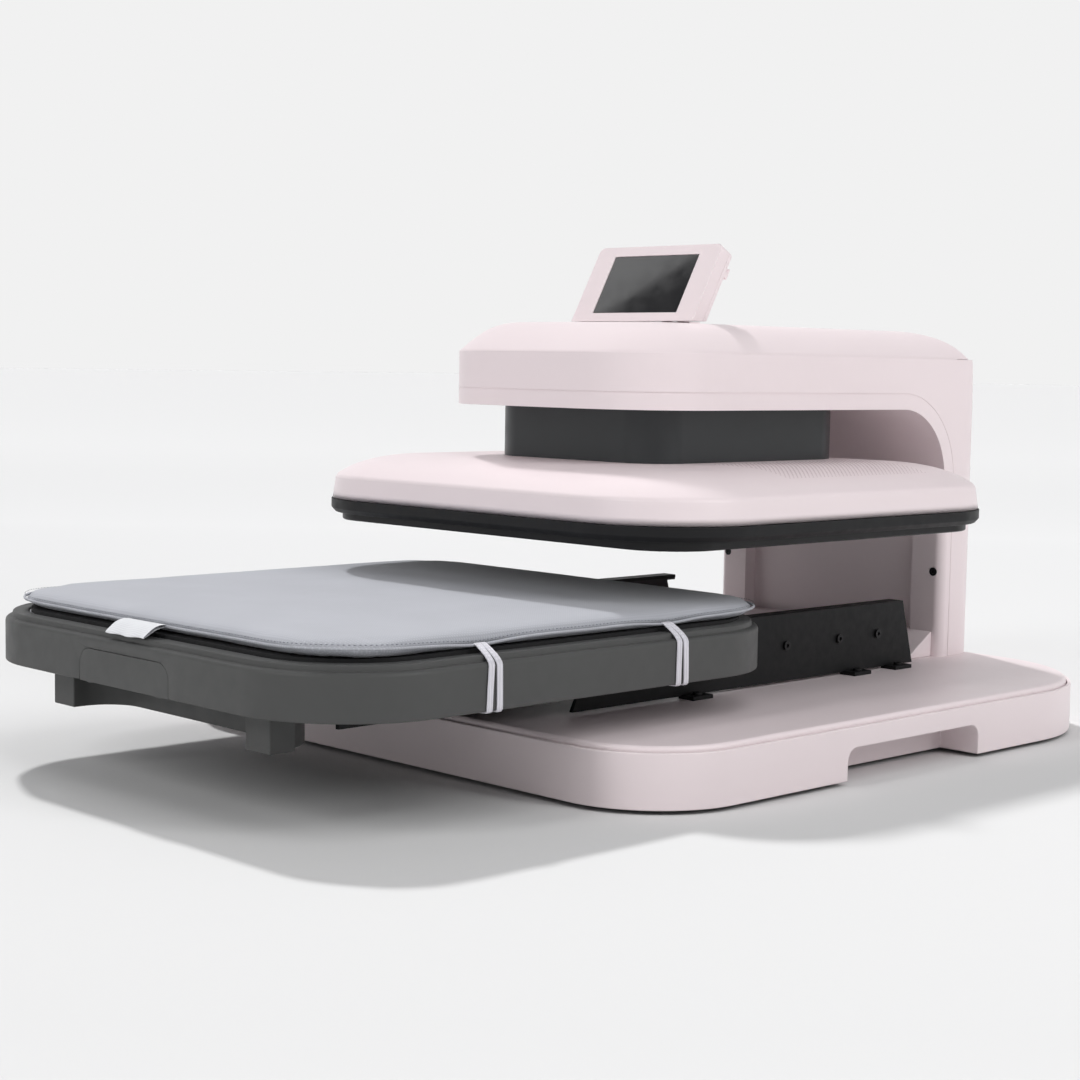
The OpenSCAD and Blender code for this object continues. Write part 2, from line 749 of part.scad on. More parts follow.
// Domed cover over the platen: low wall, then a slope that flattens towards the shroud.
module dome(t) hull()
    for (p = [[1, trim_top, 0], [3.5, crest_z, 0], [15, crest_z + 8, 0.7],
              [33, crest_z + 13.5, 1], [54, crest_z + 17, 1], [76, cover_top - 0.2, 1]])
        let (corner = max(8, trim_r - p[0] - t))
            layer(trim_hw - p[0] - t, trim_front + p[0] + t, trim_back - p[0] - t,
                  corner, corner, p[1] - t * p[2]);
module platen_cover() color(PINK) difference() {
    dome(0);
    translate([0, 0, -0.3]) dome(wall);
    block([-76, -75, 200], [76, 109, 240]);
}

module ram_shroud() color(GREY) difference() {
    slab(shroud_hw, shroud_front, shroud_back, shroud_r, shroud_r, cover_top, shroud_top);
    slab(shroud_hw - shroud_t, shroud_front + shroud_t, shroud_back - shroud_t,
         shroud_r - shroud_t, shroud_r - shroud_t, cover_top - 1, shroud_top + 1);
}

// ---------------------------------------------------------------- tray

// Outline of the tray's front access panel, in (X, Z).
module pull_outline(t) {
    translate([-pull_hw + t, tray_bottom]) square([2 * (pull_hw - t), pull_top - pull_r - tray_bottom]);
    translate([-pull_hw + pull_r, tray_bottom]) square([2 * (pull_hw - pull_r), pull_top - t - tray_bottom]);
    for (s = [-1, 1]) translate([s * (pull_hw - pull_r), pull_top - pull_r]) circle(pull_r - t);
}
module front_opening(t)
    translate([0, tray_front + tray_wall + 0.01, 0]) rotate([90, 0, 0])
        linear_extrude(tray_wall + 0.01) pull_outline(t);

module tray_shell() color(GREY) difference() {
    union() {
        slab(tray_hw, tray_front, tray_back, tray_r, tray_r, tray_bottom, tray_top);
        slab(tray_hw - ledge_inset, tray_front + ledge_inset, tray_back - ledge_inset,
             tray_r - ledge_inset, tray_r - ledge_inset, tray_top, ledge_top);
    }
    slab(tray_hw - tray_wall, tray_front + tray_wall, tray_back - tray_wall,
         tray_r - tray_wall, tray_r - tray_wall, 0, tray_floor);
    slab(tray_hw - 16, tray_front + 16, tray_back - 10, tray_r - 16, tray_r - 16,
         bed_z, ledge_top + 1);
    block([-150, tray_back - 20, 0], [150, tray_back + 1, tray_floor - 1]);
    translate([0, -1, 0]) front_opening(0);
    front_opening(0);
}

module front_panel() color(GREY) front_opening(0.4);

// Finger rail under the tray's front: two legs and a wall set back between them.
module handle_plan(t) difference() {
    union() {
        for (s = [0, 1]) mirror([s, 0]) translate([handle_leg_in - 4, handle_front + t])
            square([handle_leg_out - handle_leg_in + 4 - t, handle_t - 2 * t]);
        intersection() {
            plan(handle_leg_in + handle_t - t, handle_front - 40, handle_back + handle_t - t,
                 4, handle_r + handle_t - t);
            translate([-200, handle_front + t]) square([400, 100]);
        }
    }
    plan(handle_leg_in + t, handle_front - 40, handle_back + t, 4, handle_r + t);
}
module handle_bar() color(GREY) difference() {
    translate([0, 0, handle_low]) linear_extrude(tray_floor - handle_low) handle_plan(0);
    translate([0, 0, handle_low + wall]) linear_extrude(100) handle_plan(wall);
}

module tray_frame() color(BLACK) {
    back = slide_front - tray_travel + slide_len;
    block_pair([frame_out - wall, slide_front - tray_travel, 55],
               [frame_out, back, tray_floor - 2.5]);
    block([-frame_out, slide_front - tray_travel, tray_floor - 2.5],
          [frame_out, tray_back - 26, tray_floor]);
}

module press_bed() color(ZINC)
    slab(tray_hw - 17, tray_front + 17, tray_back - 11, tray_r - 17, tray_r - 17,
         bed_z, bed_z + bed_t);

module bed_pad() color([0.18, 0.18, 0.19])
    slab(tray_hw - 18, tray_front + 18, tray_back - 12, tray_r - 18, tray_r - 18,
         bed_z + bed_t, mat_low);

module mat() color([0.71, 0.73, 0.76])
    slab(mat_hw, mat_front, mat_back, mat_r, mat_r, mat_low, mat_top);

module mat_tag() color("white")
    block([-22, mat_front - 14, mat_low - 1], [22, mat_front - 0.3, mat_low + 1]);

// One elastic strap: two strands over the ledge, down the tray wall and under its edge.
module strap_strand() across_y(strap_w) union() {
    translate([mat_hw + 0.3, ledge_top + 0.4]) square([tray_hw + 0.6 - mat_hw, strap_t]);
    translate([tray_hw + 0.5, tray_bottom - 0.4 - strap_t])
        square([strap_t, ledge_top + 0.4 + strap_t - tray_bottom + 0.4 + strap_t]);
    translate([tray_hw - 14, tray_bottom - 0.4 - strap_t]) square([14.5 + strap_t, strap_t]);
}
// A profile drawn in (X, Z), extruded along Y about its middle.
module across_y(w) translate([0, w / 2, 0]) rotate([90, 0, 0]) linear_extrude(w) children();

module mat_straps() color("white") both_sides()
    for (y = strap_y, s = [-1, 1])
        translate([0, (tray_front + tray_back) / 2 + y + s * (strap_w + strap_gap) / 2, 0])
            strap_strand();

// ---------------------------------------------------------------- screen

// Frame of the leaning screen: X across, Y out of the back, Z up along the face.
module on_screen() translate([0, screen_y, screen_z]) rotate([-screen_lean, 0, 0]) children();

module screen_outline(t, top) {
    r = 5;
    translate([-screen_hw + t, t]) square([2 * (screen_hw - t), screen_len - top - r - t]);
    translate([-screen_hw + r, t]) square([2 * (screen_hw - r), screen_len - top - t]);
    for (s = [-1, 1]) translate([s * (screen_hw - r), screen_len - top - r]) circle(r - t);
}

// Slab of the screen housing between depths d0 and d1.
module screen_slab(d0, d1, t, top)
    translate([0, d1, 0]) rotate([90, 0, 0]) linear_extrude(d1 - d0) screen_outline(t, top);

module above_head() translate([-100, -100, screen_z]) cube([200, 200, 100]);

module screen_bezel() color(PINK) intersection() {
    above_head();
    on_screen() difference() {
        screen_slab(0, screen_t - 4, 0, 0);
        screen_slab(wall, screen_t, wall, wall);
        block([-46.3, -1, 8], [46.3, wall + 1, 62]);
    }
}

module screen_back() color(PINK) {
    intersection() {
        above_head();
        on_screen() screen_slab(screen_t - 3.8, screen_t, 0, 0);
    }
    on_screen() {
        block([61, screen_t, 50], [65, screen_t + 5.5, 56]);
        block([61, screen_t + 3.5, 50], [65, screen_t + 5.5, 59]);
    }
    difference() {
        union() for (x = [-30, 22]) {
            rod_x_dir([x, hinge_y, hinge_z], knuckle_r, 8);
            intersection() {
                block([x, hinge_y - 9, hinge_z - knuckle_r], [x + 8, hinge_y, hinge_z + knuckle_r]);
                on_screen() block([-100, screen_t, -20], [100, screen_t + 20, 40]);
            }
        }
        rod_x_dir([-40, hinge_y, hinge_z], hinge_r + 0.05, 80);
    }
}

module display_glass() color([0.04, 0.04, 0.05])
    on_screen() block([-46, 0.4, 8.3], [46, wall - 0.1, 61.7]);

module display_board() color([0.05, 0.30, 0.14])
    on_screen() block([-50, wall + 1.2, 6], [50, wall + 4, 64]);

module hinge_base() color(PINK) difference() {
    union() {
        block([-44, hinge_y - 1, head_top], [44, hinge_y + 12, head_top + 1.8]);
        for (x = [-40, -21.5, 14, 31]) {
            block([x, hinge_y - 1, head_top], [x + 7.5, hinge_y + 4.5, hinge_z]);
            rod_x_dir([x, hinge_y + 0.2, hinge_z], knuckle_r, 7.5);
        }
    }
    rod_x_dir([-60, hinge_y, hinge_z], hinge_r + 0.05, 120);
}

module hinge_pin() color(ZINC) rod_x_dir([-42, hinge_y, hinge_z], hinge_r, 84);

// ---------------------------------------------------------------- nodes

rubber_feet();
bottom_plate();
base_shell();
base_cover();
base_frame();
power_supply();
rail_bracket_left();
rail_bracket_right();
rail_screws();
slide_outer_members();
column_posts();
head_arms();
drive_frame();
inner_cover();
outer_cover();
head_top_cover();
foot_ramp();
column_screws();
rear_panel();
power_inlet();
switch_body();
switch_rocker();
control_board();
fan_frame();
fan_rotor();
gearmotor();
linear_bushings();
shaft_bearings();
pinion_shaft();
pinions();
heat_plate();
heating_element();
thermal_sensors();
insulation_board();
trim_band();
support_plate();
platen_cover();
guide_rods();
lift_racks();
ram_shroud();
tray_shell();
front_panel();
handle_bar();
tray_frame();
press_bed();
bed_pad();
mat();
mat_tag();
mat_straps();
slide_inner_members();
slide_middle_left();
slide_middle_right();
slide_balls();
hinge_base();
hinge_pin();
screen_bezel();
screen_back();
display_glass();
display_board();
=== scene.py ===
import json
import math

import bmesh
import bpy
from mathutils import Matrix, Vector, noise


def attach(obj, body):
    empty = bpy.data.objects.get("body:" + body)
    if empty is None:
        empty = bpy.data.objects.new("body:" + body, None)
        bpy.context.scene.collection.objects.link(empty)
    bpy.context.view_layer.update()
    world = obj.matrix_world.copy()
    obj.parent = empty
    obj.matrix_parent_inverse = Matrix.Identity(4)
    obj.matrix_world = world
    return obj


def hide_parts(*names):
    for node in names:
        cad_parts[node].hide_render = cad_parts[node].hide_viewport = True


# Visual model of a drawer-type heat press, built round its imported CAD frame.
# +X is the operator's right, +Y the back, +Z up. Outlines are worked out in millimetres,
# and piece() turns them into metres. Lamps, floor and camera are placed in metres.

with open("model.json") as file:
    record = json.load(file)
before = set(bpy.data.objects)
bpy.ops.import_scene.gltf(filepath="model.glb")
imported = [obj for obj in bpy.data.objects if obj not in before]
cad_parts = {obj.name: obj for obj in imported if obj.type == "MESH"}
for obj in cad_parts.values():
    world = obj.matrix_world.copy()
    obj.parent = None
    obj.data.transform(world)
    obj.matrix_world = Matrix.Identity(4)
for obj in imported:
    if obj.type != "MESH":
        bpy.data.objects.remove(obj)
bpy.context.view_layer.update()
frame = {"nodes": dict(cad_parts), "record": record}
nodes = frame["nodes"]
scene = bpy.context.scene

# ---------------------------------------------------------------- camera, floor, light

camera = bpy.data.objects.new("camera", bpy.data.cameras.new("camera"))
scene.collection.objects.link(camera)
scene.camera = camera
camera.data.sensor_width = 36
camera.data.lens = 68.29
camera.data.clip_end = 60
CAMERA_PLACE = (1.1418, -1.2385, .2914)
right, up, back = (.69570, .71814, .01679), (-.07312, .04754, .99619), (.71461, -.69427, .08559)
camera.matrix_world = Matrix.Translation(CAMERA_PLACE) @ Matrix(
    [[right[i], up[i], back[i]] for i in range(3)]).to_4x4()

scene.view_settings.view_transform = "Standard"
scene.view_settings.look = "None"

PALE = 0.88  # radiance of the backdrop, which the lit floor matches
AWAY = (-0.717, 0.697, 0)  # level direction from the camera towards the backdrop

world = bpy.data.worlds.new("studio")
scene.world = world
world.use_nodes = True
wt = world.node_tree
wt.nodes.clear()
sky_out = wt.nodes.new("ShaderNodeOutputWorld")
sky = wt.nodes.new("ShaderNodeBackground")
sky_in = wt.nodes.new("ShaderNodeTexCoord")
sky_sep = wt.nodes.new("ShaderNodeSeparateXYZ")
sky_ramp = wt.nodes.new("ShaderNodeValToRGB")
wt.links.new(sky_in.outputs["Generated"], sky_sep.inputs[0])
wt.links.new(sky_sep.outputs["Z"], sky_ramp.inputs[0])
# The backdrop stands behind the object; the rest of the room is dimmer.
behind = wt.nodes.new("ShaderNodeVectorMath")
behind.operation = "DOT_PRODUCT"
behind.inputs[1].default_value = AWAY
wt.links.new(sky_in.outputs["Generated"], behind.inputs[0])
room = wt.nodes.new("ShaderNodeMapRange")
room.interpolation_type = "SMOOTHSTEP"
room.inputs["From Min"].default_value, room.inputs["From Max"].default_value = -0.3, 0.85
room.inputs["To Min"].default_value, room.inputs["To Max"].default_value = 0.68, 1
wt.links.new(behind.outputs["Value"], room.inputs["Value"])
wt.links.new(room.outputs[0], sky.inputs["Strength"])
wt.links.new(sky_ramp.outputs[0], sky.inputs["Color"])
wt.links.new(sky.outputs[0], sky_out.inputs["Surface"])
stops = sky_ramp.color_ramp.elements
stops[0].position, stops[0].color = 0.24, (PALE, PALE, PALE, 1)
stops[1].position, stops[1].color = 0.50, (0.30, 0.30, 0.31, 1)

floor_mesh = bpy.data.meshes.new("floor")
floor_mesh.from_pydata([(-40, -40, 0), (40, -40, 0), (40, 40, 0), (-40, 40, 0)], [], [(0, 1, 2, 3)])
floor = bpy.data.objects.new("floor", floor_mesh)
scene.collection.objects.link(floor)
floor_mat = bpy.data.materials.new("floor")
floor_mat.use_nodes = True
floor_bsdf = floor_mat.node_tree.nodes["Principled BSDF"]
ft = floor_mat.node_tree
# The floor's tint and a faint glow rise towards the backdrop, so that no horizon shows.
away = ft.nodes.new("ShaderNodeVectorMath")
away.operation = "DOT_PRODUCT"
away.inputs[1].default_value = AWAY
ft.links.new(ft.nodes.new("ShaderNodeTexCoord").outputs["Object"], away.inputs[0])
for socket, near, far, low, high in (("Base Color", -0.8, 1.9, 0.64, 0.93),
                                     ("Emission Strength", 1.7, 5, 0, 0.1)):
    fade = ft.nodes.new("ShaderNodeMapRange")
    fade.inputs["From Min"].default_value, fade.inputs["From Max"].default_value = near, far
    fade.inputs["To Min"].default_value, fade.inputs["To Max"].default_value = low, high
    ft.links.new(away.outputs["Value"], fade.inputs["Value"])
    ft.links.new(fade.outputs[0], floor_bsdf.inputs[socket])
floor_bsdf.inputs["Emission Color"].default_value = (1, 1, 1, 1)
floor_bsdf.inputs["Roughness"].default_value = 1
floor_bsdf.inputs["Specular IOR Level"].default_value = 0
floor_mesh.materials.append(floor_mat)


def lamp(name, kind, energy, place, aim, **facts):
    """A lamp at place, turned towards aim; facts are further settings of its data."""
    data = bpy.data.lights.new(name, kind)
    data.energy = energy
    for k, v in facts.items():
        setattr(data, k, v)
    ob = bpy.data.objects.new(name, data)
    scene.collection.objects.link(ob)
    ob.location = place
    ob.rotation_euler = (Vector(aim) - Vector(place)).to_track_quat("-Z", "Y").to_euler()
    return ob


lamp("key", "SUN", 2.3, (-0.88, 0.38, 1), (0, 0, 0), angle=0.07).visible_glossy = False
lamp("front_box", "AREA", 20, (-0.1, -2.5, 1.7), (0, 0, 0.3), shape="RECTANGLE", size=0.5, size_y=1.3)
lamp("side_box", "AREA", 21, (2.5, 0.5, 1.7), (0, 0, 0.3), shape="RECTANGLE", size=0.5, size_y=1.3)
lamp("top_box", "AREA", 17, (1.3, -0.5, 2.3), (0, 0, 0.2), shape="RECTANGLE", size=1.6, size_y=1.6) \
    .visible_glossy = False

# A card over the left front that only the screen's glass and other gloss see.
CARD_PLACE = (-1.697, -0.692, 1.924)
card = lamp("card", "AREA", 3.2, CARD_PLACE, (0, 0, 0), shape="RECTANGLE", size=1.6, size_y=0.35)
long, across, facing = (-.619, -.195, -.761), (-.39, .917, .082), (-.682, -.347, .644)
card.matrix_world = Matrix.Translation(CARD_PLACE) @ Matrix(
    [[long[i], across[i], facing[i]] for i in range(3)]).to_4x4()
card.visible_diffuse = False

# ---------------------------------------------------------------- materials


def tree(name):
    """New material, its node tree and its shader."""
    mat = bpy.data.materials.new(name)
    mat.use_nodes = True
    nt = mat.node_tree
    return mat, nt, nt.nodes["Principled BSDF"]


def coords(nt):
    """The tree's object coordinates, in metres."""
    for n in nt.nodes:
        if n.bl_idname == "ShaderNodeTexCoord":
            return n.outputs["Object"]
    return nt.nodes.new("ShaderNodeTexCoord").outputs["Object"]


def noise_node(nt, scale, detail=2.0, rough=0.5, stretch=None):
    n = nt.nodes.new("ShaderNodeTexNoise")
    n.inputs["Scale"].default_value = scale
    n.inputs["Detail"].default_value = detail
    n.inputs["Roughness"].default_value = rough
    src = coords(nt)
    if stretch:
        m = nt.nodes.new("ShaderNodeMapping")
        m.inputs["Scale"].default_value = stretch
        nt.links.new(src, m.inputs["Vector"])
        src = m.outputs[0]
    nt.links.new(src, n.inputs["Vector"])
    return n.outputs["Fac"]


def spread(nt, fac, low, high):
    """Stretches the middle of a noise to run from low to high."""
    m = nt.nodes.new("ShaderNodeMapRange")
    m.inputs["From Min"].default_value = 0.3
    m.inputs["From Max"].default_value = 0.7
    m.inputs["To Min"].default_value = low
    m.inputs["To Max"].default_value = high
    nt.links.new(fac, m.inputs["Value"])
    return m.outputs[0]


def tint(nt, fac, a, b):
    """Colour that runs from a to b with fac."""
    m = nt.nodes.new("ShaderNodeMix")
    m.data_type = "RGBA"
    m.inputs["A"].default_value = (*a, 1)
    m.inputs["B"].default_value = (*b, 1)
    nt.links.new(fac, m.inputs["Factor"])
    return m.outputs["Result"]


def bump(nt, bsdf, height, strength, distance):
    """Adds a bump, in metres, on top of any that the shader already has."""
    b = nt.nodes.new("ShaderNodeBump")
    b.inputs["Strength"].default_value = strength
    b.inputs["Distance"].default_value = distance
    nt.links.new(height, b.inputs["Height"])
    if bsdf.inputs["Normal"].links:
        nt.links.new(bsdf.inputs["Normal"].links[0].from_socket, b.inputs["Normal"])
    nt.links.new(b.outputs[0], bsdf.inputs["Normal"])


def shade(c, k):
    return tuple(min(1, v * k) for v in c)


def surface(name, base, rough, var=0.05, cloud=6, grain=900, grain_h=0.00003, metal=0.0, coat=0.0,
            coat_rough=0.2, orange=0, stretch=None, spec=0.5):
    """Moulded, painted or metal surface: clouds of tone and gloss, fine grain, and orange peel if asked."""
    mat, nt, b = tree(name)
    fac = spread(nt, noise_node(nt, cloud, 4, 0.55), 0, 1)
    nt.links.new(tint(nt, fac, shade(base, 1 - var), shade(base, 1 + var)), b.inputs["Base Color"])
    nt.links.new(spread(nt, noise_node(nt, cloud * 9, 3, 0.6, stretch), rough * 0.88, rough * 1.12),
                 b.inputs["Roughness"])
    b.inputs["Metallic"].default_value = metal
    b.inputs["Specular IOR Level"].default_value = spec
    b.inputs["Coat Weight"].default_value = coat
    b.inputs["Coat Roughness"].default_value = coat_rough
    if grain_h:
        bump(nt, b, noise_node(nt, grain, 2, 0.5, stretch), 0.5, grain_h)
    if orange:
        bump(nt, b, noise_node(nt, orange, 1, 0.4), 0.4, 0.0001)
    return mat


M = {
    "pink_cover": surface("pink_cover", (0.84, 0.74, 0.757), 0.42, 0.012, 5, 1400, 0.000012, orange=130,
                          coat=0.08, coat_rough=0.34),
    "black_trim": surface("black_trim", (0.009, 0.009, 0.010), 0.50, 0.12, 12, 1500, 0.00003, spec=0.25),
    "black_steel": surface("black_steel", (0.008, 0.0083, 0.009), 0.52, 0.10, 14, 1600, 0.00005,
                           orange=500, spec=0.22),
    "grey_plastic": surface("grey_plastic", (0.068, 0.069, 0.068), 0.52, 0.06, 9, 1500, 0.00005, spec=0.4),
    "shroud_grey": surface("shroud_grey", (0.026, 0.030, 0.032), 0.36, 0.06, 9, 1300, 0.00002, spec=0.45),
    "coated_aluminium": surface("coated_aluminium", (0.008, 0.008, 0.009), 0.42, 0.15, 20, 1800, 0.00002,
                                spec=0.3),
    "frame_steel": surface("frame_steel", (0.50, 0.51, 0.53), 0.42, 0.12, 20, 900, 0.00003, metal=1.0,
                           stretch=(1, 12, 12)),
    "slide_steel": surface("slide_steel", (0.025, 0.025, 0.027), 0.36, 0.15, 25, 900, 0.00002, metal=0.5,
                           stretch=(8, 1, 8)),
    "aluminium_bed": surface("aluminium_bed", (0.68, 0.69, 0.70), 0.38, 0.06, 18, 900, 0.00002, metal=1.0,
                             stretch=(1, 14, 1)),
    "rubber": surface("rubber", (0.016, 0.016, 0.016), 0.75, 0.2, 30, 1200, 0.00008),
    # Silicone is dark charcoal, not the brick red of its foam: painted shade for the dark band under the
    # mat's edge.
    "silicone": surface("silicone", (0.020, 0.020, 0.021), 0.7, 0.15, 25, 700, 0.0001, spec=0.3),
    "insulation": surface("insulation", (0.66, 0.62, 0.53), 0.92, 0.10, 40, 500, 0.0003),
    "circuit_board": surface("circuit_board", (0.012, 0.12, 0.04), 0.30, 0.15, 60, 600, 0.00003, coat=0.5),
    "screw_black": surface("screw_black", (0.014, 0.014, 0.015), 0.34, 0.15, 90, 1500, 0.00002, metal=0.6),
    "switch_red": surface("switch_red", (0.42, 0.015, 0.012), 0.22, 0.08, 60, 1500, 0.00001, coat=0.4),
    "motor_grey": surface("motor_grey", (0.12, 0.12, 0.13), 0.45, 0.10, 30, 900, 0.00005),
}


def weave(name, base, scale, depth, rough, sheen, var):
    """Woven cloth: two crossed sets of threads, about 3.2 times scale to the metre, with clouds of tone."""
    mat, nt, b = tree(name)
    waves = []
    for turn in ((0, 0, 0), (0, 0, math.pi / 2)):
        m = nt.nodes.new("ShaderNodeMapping")
        m.inputs["Rotation"].default_value = turn
        nt.links.new(coords(nt), m.inputs["Vector"])
        w = nt.nodes.new("ShaderNodeTexWave")
        w.wave_type, w.bands_direction, w.wave_profile = "BANDS", "X", "SIN"
        w.inputs["Scale"].default_value = scale
        w.inputs["Distortion"].default_value = 0.6
        w.inputs["Detail"].default_value = 1
        nt.links.new(m.outputs[0], w.inputs["Vector"])
        waves.append(w.outputs["Fac"])
    cross = nt.nodes.new("ShaderNodeMath")
    cross.operation = "MULTIPLY"
    nt.links.new(waves[0], cross.inputs[0])
    nt.links.new(waves[1], cross.inputs[1])
    soft = spread(nt, noise_node(nt, 18, 4, 0.6), 0, 1)
    col = tint(nt, soft, shade(base, 1 - var), shade(base, 1 + var))
    m = nt.nodes.new("ShaderNodeMix")
    m.data_type, m.blend_type = "RGBA", "MULTIPLY"
    m.inputs["Factor"].default_value = 1
    nt.links.new(col, m.inputs["A"])
    nt.links.new(tint(nt, cross.outputs[0], (0.86, 0.86, 0.87), (1.05, 1.05, 1.05)), m.inputs["B"])
    nt.links.new(m.outputs["Result"], b.inputs["Base Color"])
    b.inputs["Roughness"].default_value = rough
    b.inputs["Sheen Weight"].default_value = sheen
    b.inputs["Sheen Roughness"].default_value = 0.5
    b.inputs["Specular IOR Level"].default_value = 0.25
    bump(nt, b, cross.outputs[0], 0.6, depth)
    bump(nt, b, noise_node(nt, 700, 2), 0.3, depth)
    return mat


M["mat_fabric"] = weave("mat_fabric", (0.44, 0.45, 0.485), 150, 0.00006, 0.9, 0.15, 0.03)
M["strap_elastic"] = weave("strap_elastic", (0.72, 0.71, 0.76), 140, 0.00025, 0.8, 0.3, 0.04)
M["tag_fabric"] = weave("tag_fabric", (0.74, 0.75, 0.77), 240, 0.00006, 0.55, 0.2, 0.02)



def display():
    """Black glass of a screen that is off, with faint smears in its gloss."""
    mat, nt, b = tree("display_glass")
    smear = spread(nt, noise_node(nt, 25, 3), 0, 1)
    nt.links.new(tint(nt, smear, (0.010, 0.010, 0.011), (0.016, 0.016, 0.017)), b.inputs["Base Color"])
    nt.links.new(spread(nt, noise_node(nt, 60, 4), 0.03, 0.09), b.inputs["Roughness"])
    b.inputs["Specular IOR Level"].default_value = 0.5
    return mat


M["display_glass"] = display()
# Darker pink of the vent holes is painted shade: the holes are not cut, and plugs on the cover stand for
# their shaded insides.
M["vent_painted_shade"] = surface("vent_painted_shade", (0.50, 0.40, 0.42), 0.6, 0.05, 40, 1400, 0.00001, spec=0.2)
M["grey_thread"] = surface("grey_thread", (0.17, 0.18, 0.20), 0.8, 0.1, 300, 3000, 0.00002, spec=0.2)

slot_of = {s["node"]: s["material_slot"] for s in frame["record"]["subparts"]}
body_of = {n: b for b, names in frame["record"]["behaviour"]["bodies"].items() for n in names}

for n, ob in nodes.items():
    ob.data.materials.clear()
    ob.data.materials.append(M[slot_of[n]])

# ---------------------------------------------------------------- mesh helpers


def finish_piece(ob, body, slot, replaces=()):
    """Gives a piece the material of its slot and its body, and hides the CAD nodes that it stands for."""
    ob.data.materials.clear()
    ob.data.materials.append(M[slot])
    for p in ob.data.polygons:
        p.use_smooth = True
    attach(ob, body)
    if replaces:
        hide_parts(*replaces)
    return ob


def piece(name, verts, faces):
    """New mesh object from points in millimetres."""
    me = bpy.data.meshes.new(name)
    me.from_pydata([Vector(v) * 0.001 for v in verts], [], faces)
    bm = bmesh.new()
    bm.from_mesh(me)
    bmesh.ops.recalc_face_normals(bm, faces=bm.faces)
    bm.to_mesh(me)
    bm.free()
    ob = bpy.data.objects.new(name, me)
    scene.collection.objects.link(ob)
    return ob


def even_normals(ob):
    m = ob.modifiers.new("normals", "WEIGHTED_NORMAL")
    m.weight = 60
    m.keep_sharp = True


def apply_all(ob):
    """Makes the shape that ob's modifiers give into its own mesh."""
    bpy.context.view_layer.update()
    me = bpy.data.meshes.new_from_object(ob.evaluated_get(bpy.context.evaluated_depsgraph_get()))
    ob.modifiers.clear()
    old = ob.data
    ob.data = me
    bpy.data.meshes.remove(old)


def prism(n):
    """Faces of an extruded outline of n points, its two ends listed one after the other."""
    sides = [(i, (i + 1) % n, n + (i + 1) % n, n + i) for i in range(n)]
    return [tuple(range(n))[::-1], tuple(range(n, 2 * n))] + sides


def cut(ob, tool):
    """Takes tool's volume out of ob."""
    m = ob.modifiers.new("cut", "BOOLEAN")
    m.operation, m.solver, m.object = "DIFFERENCE", "EXACT", tool
    apply_all(ob)
    bpy.data.objects.remove(tool)


def soften(node, width, segments=2):
    """A copy of a CAD node with its sharp edges rounded, which stands for the node."""
    me = nodes[node].data.copy()
    ob = bpy.data.objects.new(node + "_soft", me)
    scene.collection.objects.link(ob)
    bm = bmesh.new()
    bm.from_mesh(me)
    bmesh.ops.remove_doubles(bm, verts=bm.verts, dist=2e-6)
    bmesh.ops.dissolve_limit(bm, angle_limit=math.radians(0.6), verts=bm.verts, edges=bm.edges)
    edges = [e for e in bm.edges if len(e.link_faces) == 2 and e.calc_face_angle(0) > math.radians(30)]
    bmesh.ops.bevel(bm, geom=edges, offset=width * 0.001, offset_type="OFFSET", segments=segments,
                    profile=0.5, affect="EDGES", clamp_overlap=True, harden_normals=False)
    bm.normal_update()
    for e in bm.edges:
        e.smooth = not (len(e.link_faces) == 2 and e.calc_face_angle(0) > math.radians(50))
    bm.to_mesh(me)
    bm.free()
    finish_piece(ob, body_of[node], slot_of[node], [node])
    even_normals(ob)
    return ob


def ring(hw, y0, y1, rf, rb, z, seg=16, side=8):
    """Rounded rectangle in plan, counterclockwise, with the same number of points whatever its size."""
    out = []
    corners = [(hw - rf, y0 + rf, rf, -90), (hw - rb, y1 - rb, rb, 0), (rb - hw, y1 - rb, rb, 90),
               (rf - hw, y0 + rf, rf, 180)]
    arcs = []
    for cx, cy, r, a in corners:
        turns = [math.radians(a + 90 * k / seg) for k in range(seg + 1)]
        arcs.append([(cx + r * math.cos(u), cy + r * math.sin(u)) for u in turns])
    for i, arc in enumerate(arcs):
        out += arc
        a, b = arc[-1], arcs[(i + 1) % 4][0]
        out += [(a[0] + (b[0] - a[0]) * k / side, a[1] + (b[1] - a[1]) * k / side) for k in range(1, side)]
    return [(x, y, z) for x, y in out]


def loft(name, rings, cap_low=False, cap_high=False, loop=False):
    """Skin through rings with the same number of points; loop joins the last ring to the first."""
    n, m = len(rings[0]), len(rings)
    faces = []
    for j in range(m if loop else m - 1):
        a, b = j * n, (j + 1) % m * n
        faces += [(a + i, a + (i + 1) % n, b + (i + 1) % n, b + i) for i in range(n)]
    if cap_low:
        faces.append(tuple(range(n))[::-1])
    if cap_high:
        faces.append(tuple(range((m - 1) * n, m * n)))
    return piece(name, [p for r in rings for p in r], faces)


def rounded(points, loop=False):
    """A profile of (inset, height, radius) corners, with each corner rounded."""
    out, n = [], 5
    for i, p in enumerate(points):
        r = p[2] if len(p) > 2 else 0
        if not r or (not loop and i in (0, len(points) - 1)):
            out.append(tuple(p[:2]))
            continue
        a, b, c = (Vector(points[j % len(points)][:2]) for j in (i - 1, i, i + 1))
        u, w = (a - b).normalized(), (c - b).normalized()
        half = u.angle(w) / 2
        mid = b + (u + w).normalized() * (r / math.sin(half))
        s, e = b + u * (r / math.tan(half)) - mid, b + w * (r / math.tan(half)) - mid
        for k in range(n + 1):
            t = k / n
            turn = s.angle(e)
            d = s * (math.sin((1 - t) * turn) / math.sin(turn)) + e * (math.sin(t * turn) / math.sin(turn))
            out.append(tuple(mid + d))
    return out


